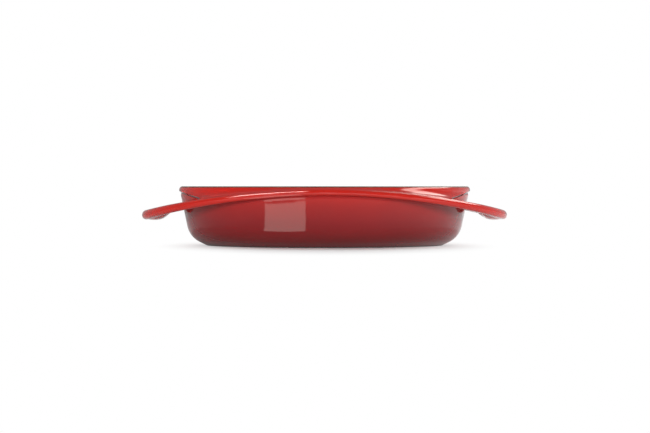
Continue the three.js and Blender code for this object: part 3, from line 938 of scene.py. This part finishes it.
def base_finish():
    """Burgundy underside with the faint rings and scuffs that hobs leave."""
    finish, tree, shader, place = new_finish("base_enamel", IOR=1.5)
    mottle = grouped(tree, MOTTLE, place, Patches_per_Metre=80.0, Clouds_per_Metre=12.0)
    rings = add(tree, "ShaderNodeTexWave", {
        "Vector": place, "Scale": 180.0, "Distortion": 3.0, "Detail": 2.0,
    }, wave_type="RINGS", rings_direction="Z")
    scuffs = sums(tree, "MULTIPLY", rings.outputs["Fac"], ranged(tree, mottle, *SCUFFED))
    burgundy = mixed(tree, mottle, BASE_DARK, BASE_RED)
    worn = mixed(tree, sums(tree, "MULTIPLY", scuffs, SCUFF_SHARE), burgundy, BASE_WORN)
    tree.links.new(worn, shader.inputs["Base Color"])
    roughened(tree, shader, scuffs, least=0.25, spread=0.3)
    textured(
        tree, shader, place,
        Ripples_per_Metre=60.0, Ripple_Height=4e-5, Peel_per_Metre=800.0, Peel_Height=6e-6,
    )
    return finish


def bare_iron():
    """Sand-cast iron under the coats."""
    finish, tree, shader, place = new_finish("iron", Metallic=0.8)
    mottle = grouped(tree, MOTTLE, place, Patches_per_Metre=150.0, Clouds_per_Metre=25.0)
    pits = grouped(tree, SPECKS, place, Specks_per_Metre=500.0, Size=0.35)
    grey = mixed(tree, mottle, IRON_DARK, IRON_PALE)
    tree.links.new(mixed(tree, pits, grey, SOOT_BLACK), shader.inputs["Base Color"])
    roughened(tree, shader, mottle, least=0.5, spread=0.3)
    textured(
        tree, shader, place,
        Ripples_per_Metre=150.0, Ripple_Height=1e-4, Peel_per_Metre=900.0, Peel_Height=9e-5,
    )
    return finish


# Camera, light and floor

def around(place):
    """A place in the studio, turned round the dish with the camera."""
    turn = math.radians(-VIEW_TURN)
    x, y, z = place
    return (x * math.cos(turn) - y * math.sin(turn), x * math.sin(turn) + y * math.cos(turn), z)


def photo_camera():
    """The photograph's view: from in front, level with the rim, through a long lens."""
    camera = bpy.data.cameras.new("photo_camera")
    camera.sensor_width = SENSOR
    camera.lens = LENS
    holder = new_piece("photo_camera", camera)
    holder.location = around((ASIDE, -CAMERA_DISTANCE, HEIGHT * MM))
    aim = Vector(around((ASIDE, 0, AIM_HEIGHT))) - holder.location
    holder.rotation_euler = aim.to_track_quat("-Z", "Y").to_euler()
    bpy.context.scene.camera = holder


def lamp(name, place, size, light):
    """A lamp that no gloss mirrors. Light is how bright white looks that faces it at the dish."""
    data = bpy.data.lights.new(name, "AREA")
    data.shape = "RECTANGLE"
    data.size, data.size_y = size
    reach = Vector((0, 0, AIM_HEIGHT)) - Vector(around(place))
    data.energy = light * math.pi**2 * reach.length_squared
    holder = new_piece(name, data)
    holder.location = around(place)
    holder.rotation_euler = reach.to_track_quat("-Z", "Y").to_euler()
    holder.visible_glossy = False
    holder.visible_camera = False


def empty_material(name):
    """A material without nodes, and its node tree."""
    material = bpy.data.materials.new(name)
    material.use_nodes = True
    material.node_tree.nodes.clear()
    return material, material.node_tree


def shown(tree, rays):
    """1 for what the camera sees, straight or through glass."""
    return sums(tree, "ADD", rays["Is Camera Ray"], rays["Is Transmission Ray"])


def faded(tree, share, edge):
    """1 in the middle of a card, and 0 at both edges."""
    return sums(tree, "MULTIPLY", ranged(tree, share, 0.0, edge), ranged(tree, share, 1.0, 1.0 - edge))


def card_light(name, radiance, edges):
    """A warm light that fades out towards a card's edges. A radiance of 1 is as bright as white."""
    material, tree = empty_material(name)
    place = add(tree, "ShaderNodeTexCoord").outputs["UV"]
    share = add(tree, "ShaderNodeSeparateXYZ", {0: place}).outputs
    soft = sums(tree, "MULTIPLY", faded(tree, share["X"], edges[0]), faded(tree, share["Y"], edges[1]))
    glow = glowing(tree, CARD_COLOUR, sums(tree, "MULTIPLY", soft, radiance))
    clear = add(tree, "ShaderNodeBsdfTransparent").outputs[0]
    add(tree, "ShaderNodeOutputMaterial", {"Surface": blended(tree, soft, clear, glow)})
    return material


def card(name, lower, upper, radiance, edges):
    """A card between two lines of points, which only shows where a gloss mirrors it."""
    steps = len(lower) - 1
    mesh = bpy.data.meshes.new(name)
    quads = [(i, i + 1, steps + i + 2, steps + i + 1) for i in range(steps)]
    mesh.from_pydata([around(point) for point in lower + upper], [], quads)
    shares = mesh.uv_layers.new(name="share")
    for loop in mesh.loops:
        row, step = divmod(loop.vertex_index, steps + 1)
        shares.data[loop.index].uv = (step / steps, row)
    mesh.materials.append(card_light(name, radiance, edges))
    piece = new_piece(name, mesh)
    piece.visible_camera = False
    piece.visible_diffuse = False
    piece.visible_shadow = False


def ribbon(name, headings, heights, radiance):
    """A curved card high beside the dish."""
    edges = []
    for height in np.radians(heights):
        turns = np.radians(np.linspace(*headings, CARD_STEPS + 1))
        level = RIBBON_REACH * math.cos(height)
        z = HEIGHT * MM + RIBBON_REACH * math.sin(height)
        edges.append([(level * math.cos(turn), level * math.sin(turn), z) for turn in turns])
    card(name, edges[0], edges[1], radiance, RIBBON_EDGES)


def window():
    """A card low in front of the dish, whose wall mirrors it as a pale window."""
    bow = np.sin(np.linspace(0, math.pi, CARD_STEPS + 1))
    far_edge = np.linspace(*WINDOW_FAR, CARD_STEPS + 1) + np.outer(bow, WINDOW_BOW)
    near_edge = np.linspace(*WINDOW_NEAR, CARD_STEPS + 1)
    card("window_card", far_edge.tolist(), near_edge.tolist(), WINDOW_RADIANCE, WINDOW_EDGES)


def floor_white():
    """White away from the dish, with its shadow beside it, and shaded where a gloss mirrors it."""
    material, tree = empty_material("floor_white")
    place = add(tree, "ShaderNodeTexCoord").outputs["Object"]
    rays = add(tree, "ShaderNodeLightPath").outputs
    spot = add(tree, "ShaderNodeSeparateXYZ", {0: place}).outputs
    across = add(tree, "ShaderNodeMapRange", {
        "Value": spot["X"], "From Min": -FLOOR_SPAN, "From Max": FLOOR_SPAN,
    }).outputs[0]
    mirrored = graded(tree, across, FLOOR_MIRRORED)
    colour = mixed(tree, rays["Is Glossy Ray"], FLOOR_COLOUR, mirrored)
    paint = add(tree, "ShaderNodeBsdfDiffuse", {"Color": colour}).outputs[0]
    front = sums(tree, "MULTIPLY", ranged(tree, spot["Y"], *FLOOR_LIFT_REACH), FLOOR_LIFT_FRONT)
    right = sums(tree, "MULTIPLY", ranged(tree, spot["X"], *FLOOR_LIFT_SIDE), FLOOR_LIFT_RIGHT)
    lift = sums(tree, "ADD", sums(tree, "ADD", front, right), FLOOR_LIFT)
    lifted = glowing(tree, WHITE, sums(tree, "MULTIPLY", lift, rays["Is Glossy Ray"]))
    beside = add(tree, "ShaderNodeAddShader", {0: paint, 1: lifted}).outputs[0]
    sooner = {0: place, 1: (FLOOR_SIDES, 1, 1)}
    stretched = add(tree, "ShaderNodeVectorMath", sooner, operation="MULTIPLY").outputs[0]
    distance = add(tree, "ShaderNodeVectorMath", {0: stretched}, operation="LENGTH").outputs["Value"]
    away = sums(tree, "MULTIPLY", ranged(tree, distance, *FLOOR_FADE), shown(tree, rays))
    seen = blended(tree, away, beside, glowing(tree, WHITE, 1.0))
    add(tree, "ShaderNodeOutputMaterial", {"Surface": seen})
    return material


def pale_floor():
    """A plain level sheet under the dish."""
    mesh = bpy.data.meshes.new("floor")
    corners = [(-1, -1), (1, -1), (1, 1), (-1, 1)]
    points = [(x * FLOOR_HALF, y * FLOOR_HALF, -FLOOR_SINK) for x, y in corners]
    mesh.from_pydata(points, [], [(0, 1, 2, 3)])
    mesh.materials.append(floor_white())
    new_piece("floor", mesh)


def surroundings():
    """A world that is white to the eye, soft on the dish and shaded where a gloss mirrors it."""
    world = bpy.data.worlds.new("studio")
    bpy.context.scene.world = world
    world.use_nodes = True
    tree = world.node_tree
    tree.nodes.clear()
    rays = add(tree, "ShaderNodeLightPath").outputs
    heading = add(tree, "ShaderNodeTexCoord").outputs["Generated"]
    way = add(tree, "ShaderNodeSeparateXYZ", {0: heading}).outputs
    back = between(tree, ranged(tree, way["X"], *BACK_SIDES), BACK_LEFT, BACK_RIGHT)
    grey = between(tree, ranged(tree, way["Y"], *BACK_START), FRONT, back)
    soft, mirrored, white = [
        add(tree, "ShaderNodeBackground", {"Color": WHITE, "Strength": strength}).outputs[0]
        for strength in (AMBIENT, grey, 1.0)
    ]
    unseen = blended(tree, rays["Is Glossy Ray"], soft, mirrored)
    seen = blended(tree, shown(tree, rays), unseen, white)
    add(tree, "ShaderNodeOutputWorld", {"Surface": seen})


def studio():
    """The light round the dish and the floor under it."""
    surroundings()
    for name, (place, size, light) in LAMPS.items():
        lamp(name, place, size, light)
    for name, (headings, heights, radiance) in RIBBONS.items():
        ribbon(name, headings, heights, radiance)
    window()
    pale_floor()


# Assembly

def dress(piece, node):
    """A piece of the dish that stands for a solid of the frame."""
    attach(piece, "root")
    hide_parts(node)


def main():
    """Dresses the solids of the frame and sets the studio up round them."""
    tree = turned_tree()
    dress(exterior_enamel(red_enamel()), "exterior_enamel")
    dress(interior_enamel(tree, black_enamel()), "interior_enamel")
    dress(rim_enamel(tree, rim_finish()), "rim_enamel")
    dress(base_enamel(tree, base_finish()), "base_enamel")
    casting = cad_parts["iron_casting"]
    casting.data.materials.clear()
    casting.data.materials.append(bare_iron())
    photo_camera()
    studio()
    bpy.context.scene.view_settings.view_transform = "Standard"


main()
